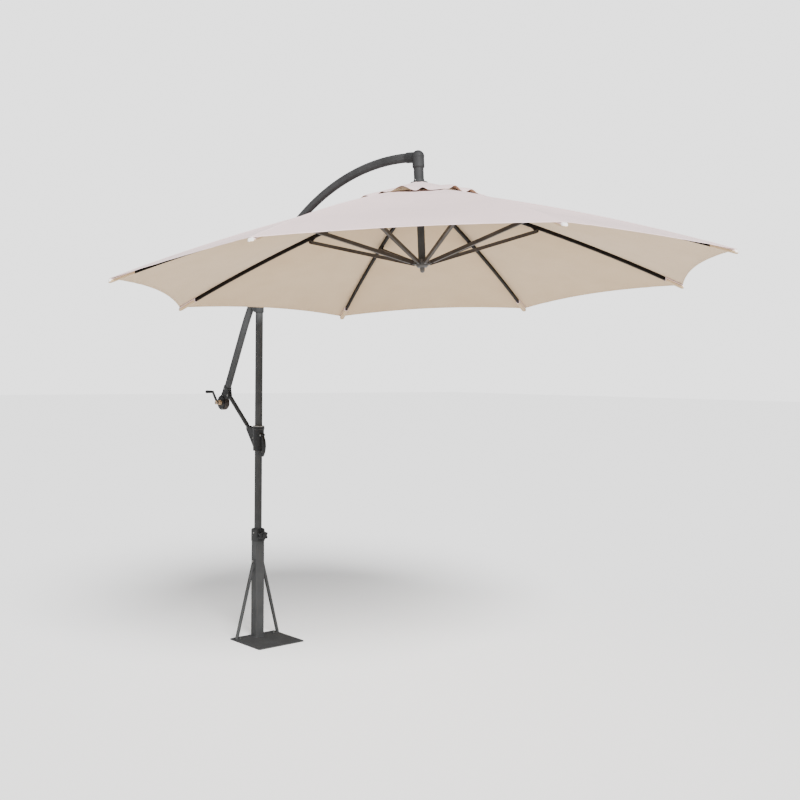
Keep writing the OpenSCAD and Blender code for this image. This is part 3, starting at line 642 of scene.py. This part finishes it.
def add_flap(k):
    """The vent flap's cloth over rib k."""
    top, low, facts = flap_grids(k)
    mesh = shell_mesh(f"vent_flap_{k}", top, low, facts, [CLOTH_OUT, FLAP_INSIDE])
    return add_object(f"vent_flap_{k}", mesh, f"rib_{k}")


def sector_area(inner, outer, dip):
    """Flat area of one rib's share of cloth, with a hem that curves in by dip."""
    hem = outer - dip * 2 / 3
    return (hem**2 - inner**2) * math.sin(HALF) * math.cos(HALF) / math.cos(SLOPE)


def add_canopy():
    """Main cloth and vent flap of each rib. They turn with the rib."""
    for k in range(1, RIBS + 1):
        sheet = add_main_cloth(k)
        flap = add_flap(k)
        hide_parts(f"canopy_{k}")
        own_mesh(sheet)
        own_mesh(flap)
        sector_area(VENT_R, CANOPY_R, HEM_DIP)
        sector_area(FLAP_IN, FLAP_OUT, 0.010)


add_canopy()


def loft_mesh(name, rings, materials, slot_at, facts):
    """A closed tube through rings of points, with capped ends.

    slot_at(band, side) gives the material of a face, and facts the points' UV pairs, by map name.
    """
    count = len(rings[0])
    points = [p for ring in rings for p in ring]
    faces, face_slots = [], []
    for i in range(len(rings) - 1):
        for j in range(count):
            n = (j + 1) % count
            faces.append((i * count + j, i * count + n, (i + 1) * count + n, (i + 1) * count + j))
            face_slots.append(slot_at(i, j))
    last = (len(rings) - 1) * count
    faces.append(tuple(range(count - 1, -1, -1)))
    faces.append(tuple(last + j for j in range(count)))
    face_slots += [slot_at(0, 0), slot_at(len(rings) - 2, 0)]
    mesh = bpy.data.meshes.new(name)
    mesh.from_pydata(points, [], faces)
    for material in materials:
        mesh.materials.append(material)
    mesh.polygons.foreach_set("material_index", face_slots)
    for map_name, pairs in facts.items():
        layer = mesh.uv_layers.new(name=map_name)
        for loop in mesh.loops:
            layer.data[loop.index].uv = pairs[loop.vertex_index]
    smooth(mesh, angle=50)
    return mesh


# ---- Rib pockets ----

POCKET_START, POCKET_END = 1.388, 1.5035
PATCH_START = 1.489
POCKET_SIDES = 20
POCKET_DROP = 0.0004       # from the rib's centre line down to the pocket's
POCKET_HIGH = 0.0112       # from the pocket's centre line up to its top, at the canopy's underside


def pocket_section(r):
    """Half width and half height of the sewn pocket at radius r.

    It has an open lip, a loose middle and a closed tip.
    """
    s = (r - POCKET_START) / (POCKET_END - POCKET_START)
    lip = 0.0010 * math.exp(-((s / 0.05) ** 2))
    close = math.sqrt(max(0.0, 1 - max(0.0, (s - 0.86) / 0.14) ** 2))
    loose = 0.0012 * math.sin(math.pi * s)
    half_w = (0.0135 + loose + lip) * (0.30 + 0.70 * close)
    half_h = (POCKET_HIGH + 0.3 * loose + lip) * (0.35 + 0.65 * close)
    return half_w, half_h


def add_pocket(k):
    """The cloth pocket that holds the end of rib k.

    Its top is the canopy's outer cloth, and its tip has a pale patch.
    """
    steps = [0, 0.0008, 0.006, 0.012, 0.024, 0.036, 0.048, 0.060, 0.070, 0.080, 0.083, 0.090]
    steps += [0.096, 0.101, 0.105, 0.109, 0.112, 0.114, POCKET_END - POCKET_START]
    rings, cloth, edges = [], [], []
    for step in steps:
        r = POCKET_START + step
        half_w, half_h = pocket_section(r)
        middle = rib_z(r) - POCKET_DROP
        ring = []
        for j in range(POCKET_SIDES):
            a = 2 * math.pi * j / POCKET_SIDES
            c, s = math.cos(a), math.sin(a)
            y = half_w * math.copysign(abs(c) ** 0.75, c)
            z = half_h * math.copysign(abs(s) ** 0.75, s)
            puff = 1 + 0.05 * noise.noise(Vector((step * 60, a * 1.5, k * 5.0)))
            ring.append(rib_frame(k) @ Vector((r, y * puff, middle + min(z * puff, POCKET_HIGH))))
            cloth.append((step, a * 0.012))
            edges.append((step + 0.004, 0))
        rings.append(ring)
    facts = {"cloth": cloth, "edges": edges}

    def slot_at(band, side):
        under, patch, outer = range(3)
        up = math.sin(2 * math.pi * (side + 0.5) / POCKET_SIDES)
        if POCKET_START + steps[band] >= PATCH_START:
            return patch if up > -0.3 else under
        return outer if up > 0.1 else under

    mesh = loft_mesh(f"rib_pocket_{k}", rings, [CLOTH_IN, CLOTH_PATCH, CLOTH_OUT], slot_at, facts)
    return add_object(f"rib_pocket_{k}", mesh, f"rib_{k}")


for number in range(1, RIBS + 1):
    add_pocket(number)


# ---- Turned and moulded details ----

def turned_mesh(name, profile, place, material, sides=64):
    """A closed ring or disc: profile is a loop of (radius, height) pairs, turned about the Z of place."""
    mesh = bpy.data.meshes.new(name)
    points, faces = [], []
    count = len(profile)
    for i in range(sides):
        a = 2 * math.pi * i / sides
        points += [place @ Vector((r * math.cos(a), r * math.sin(a), z)) for r, z in profile]
    for i in range(sides):
        n = (i + 1) % sides
        for j in range(count):
            m = (j + 1) % count
            faces.append((i * count + j, n * count + j, n * count + m, i * count + m))
    mesh.from_pydata(points, [], faces)
    bm = bmesh.new()
    bm.from_mesh(mesh)
    bmesh.ops.remove_doubles(bm, verts=bm.verts, dist=1e-6)
    bmesh.ops.dissolve_degenerate(bm, edges=bm.edges, dist=1e-7)
    bmesh.ops.recalc_face_normals(bm, faces=bm.faces)
    bm.to_mesh(mesh)
    bm.free()
    mesh.materials.append(material)
    smooth(mesh)
    return mesh


LEVER_PIN_HEAD = (0.041, -0.0145, 1.226)
WINCH_AXLE = BOOM_LINE @ Matrix.Translation((0, 0, -WINCH_DOWN)) @ Matrix.Rotation(math.pi / 2, 4, "X")


def add_winch_grips():
    """Moulded grip rings round the winch housing."""
    foot, shoulder, crest = 0.0445, 0.0459, 0.0462
    for index, y in enumerate((-0.012, -0.006, 0, 0.006, 0.012)):
        profile = [(foot, y - 0.0016), (shoulder, y - 0.0010), (crest, y)]
        profile += [(shoulder, y + 0.0010), (foot, y + 0.0016)]
        mesh = turned_mesh(f"winch_grip_{index + 1}", profile, WINCH_AXLE, GRIP, sides=96)
        add_object(f"winch_grip_{index + 1}", mesh, "boom")


def add_slider_details():
    """The pale flange of the upper bush, and the head of the lever's pin."""
    flange = [(0.0262, 1.2745), (0.0262, 1.2790), (0.0275, 1.2800)]
    flange += [(0.0330, 1.2800), (0.0345, 1.2785), (0.0345, 1.2745)]
    mesh = turned_mesh("slider_flange", flange, Matrix.Identity(4), BUSH)
    add_object("slider_flange", mesh, "slider")
    place = Matrix.Translation(LEVER_PIN_HEAD) @ Matrix.Rotation(math.pi / 2, 4, "X")
    head = [(0, 0.0004), (0.0072, 0.0004), (0.0078, 0.0012), (0.0072, 0.0026), (0.0045, 0.0038), (0, 0.0043)]
    mesh = turned_mesh("lever_pin_head", head, place, ZINC, sides=40)
    add_object("lever_pin_head", mesh, "slider")


def add_weld(name, half, z, body):
    """A weld bead round the foot of the square post: a rippled fillet."""
    corner, bead, cell = 0.004, 0.0038, 0.0022
    inside, sunk = 0.0008, 0.0005
    ring = []
    for cx, cy, start in ((1, 1, 0), (-1, 1, 90), (-1, -1, 180), (1, -1, 270)):
        for step in range(5):
            a = math.radians(start + 22.5 * step)
            centre = Vector((cx * (half - corner), cy * (half - corner), 0))
            ring.append((centre, Vector((math.cos(a), math.sin(a), 0))))
    path = []
    for (c1, n1), (c2, n2) in zip(ring, ring[1:] + ring[:1]):
        start, end = c1 + n1 * corner, c2 + n2 * corner
        cells = max(1, round((end - start).length / cell))
        path += [(start.lerp(end, i / cells), n1.lerp(n2, i / cells).normalized()) for i in range(cells)]
    points, faces = [], []
    lift = Vector((0, 0, 1))
    for index, (at, out) in enumerate(path):
        swell = 1 + 0.16 * math.sin(index * 2.1) + 0.15 * noise.noise(at * 400)
        size = bead * swell
        base = Vector((at.x, at.y, z))
        points += [base - out * inside - lift * sunk, base + out * size - lift * sunk]
        points += [base + (out + lift) * size * 0.62, base - out * inside + lift * size]
    count = len(path)
    for i in range(count):
        n = (i + 1) % count
        for j in range(4):
            m = (j + 1) % 4
            faces.append((4 * i + j, 4 * n + j, 4 * n + m, 4 * i + m))
    mesh = bpy.data.meshes.new(name)
    mesh.from_pydata(points, [], faces)
    mesh.materials.append(STEEL)
    smooth(mesh, angle=70)
    add_object(name, mesh, body)


def add_cord_drop():
    """More of the winch cord, hidden in the canopy post at rest, which shows as the canopy folds."""
    sides, steps, radius = 10, 24, 0.00198
    low, high = 0.105, 0.570
    rings = []
    for i in range(steps + 1):
        z = low + (high - low) * i / steps
        turns = [2 * math.pi * j / sides for j in range(sides)]
        ring = [(radius * math.cos(a), radius * math.sin(a)) for a in turns]
        rings.append([CANOPY @ Vector((x, y, z)) for x, y in ring])
    mesh = loft_mesh("winch_cord_drop", rings, [CORD], lambda band, side: 0, {})
    drop = add_object("winch_cord_drop", mesh, "boom")
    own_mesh(drop)


add_winch_grips()
add_slider_details()
add_weld("post_weld", POST_HALF, PLATE_TOP, "base")
add_cord_drop()


# ---- Stage ----

def add_floor():
    """A plain pale floor that gives back some of the studio's light."""
    s = Shader("floor")
    tone = s.noise(s.coords(), 0.6, 3)
    colour = s.mix(tone, (0.80, 0.80, 0.80), (0.83, 0.83, 0.83))
    s.finish(colour, 0.9, Specular_IOR_Level=0.1, Emission_Color=(1, 1, 1, 1), Emission_Strength=0.45)
    mesh = bpy.data.meshes.new("floor")
    half = 60
    corners = [(-half, -half, 0), (half, -half, 0), (half, half, 0), (-half, half, 0)]
    mesh.from_pydata(corners, [], [(0, 1, 2, 3)])
    mesh.materials.append(s.material)
    floor = bpy.data.objects.new("floor", mesh)
    floor.location.z = -0.0005
    bpy.context.scene.collection.objects.link(floor)
    floor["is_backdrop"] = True


def add_sun(name, azimuth, height, strength, softness):
    """A broad, even light that comes from an azimuth and a height above the floor, both in degrees."""
    light = bpy.data.lights.new(name, "SUN")
    light.energy = strength
    light.angle = math.radians(softness)
    sun = bpy.data.objects.new(name, light)
    a, h = math.radians(azimuth), math.radians(height)
    towards = Vector((math.cos(a) * math.cos(h), math.sin(a) * math.cos(h), math.sin(h)))
    sun.rotation_euler = towards.to_track_quat("Z", "Y").to_euler()
    bpy.context.scene.collection.objects.link(sun)


WORLD_LIGHT = 0.18         # strength of the world as a light
BACKDROP = 2.4             # strength of the world as the camera sees it


def add_studio():
    """A bright backdrop that adds little light of its own, a main light and a weak fill."""
    world = bpy.data.worlds.new("studio")
    bpy.context.scene.world = world
    world.use_nodes = True
    tree = world.node_tree
    rays = tree.nodes.new("ShaderNodeLightPath")
    level = tree.nodes.new("ShaderNodeMapRange")
    level.inputs["To Min"].default_value = WORLD_LIGHT
    level.inputs["To Max"].default_value = BACKDROP
    tree.links.new(rays.outputs["Is Camera Ray"], level.inputs["Value"])
    background = tree.nodes["Background"]
    background.inputs["Color"].default_value = (1.0, 1.0, 1.0, 1)
    tree.links.new(level.outputs["Result"], background.inputs["Strength"])
    add_sun("key", azimuth=-22, height=36, strength=9.6, softness=24)
    add_sun("fill", azimuth=-95, height=26, strength=1.0, softness=40)


add_floor()
add_studio()

rows = {"cad": cad_box, "visual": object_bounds()}
{name: [list(corner) for corner in box] for name, box in rows.items()}
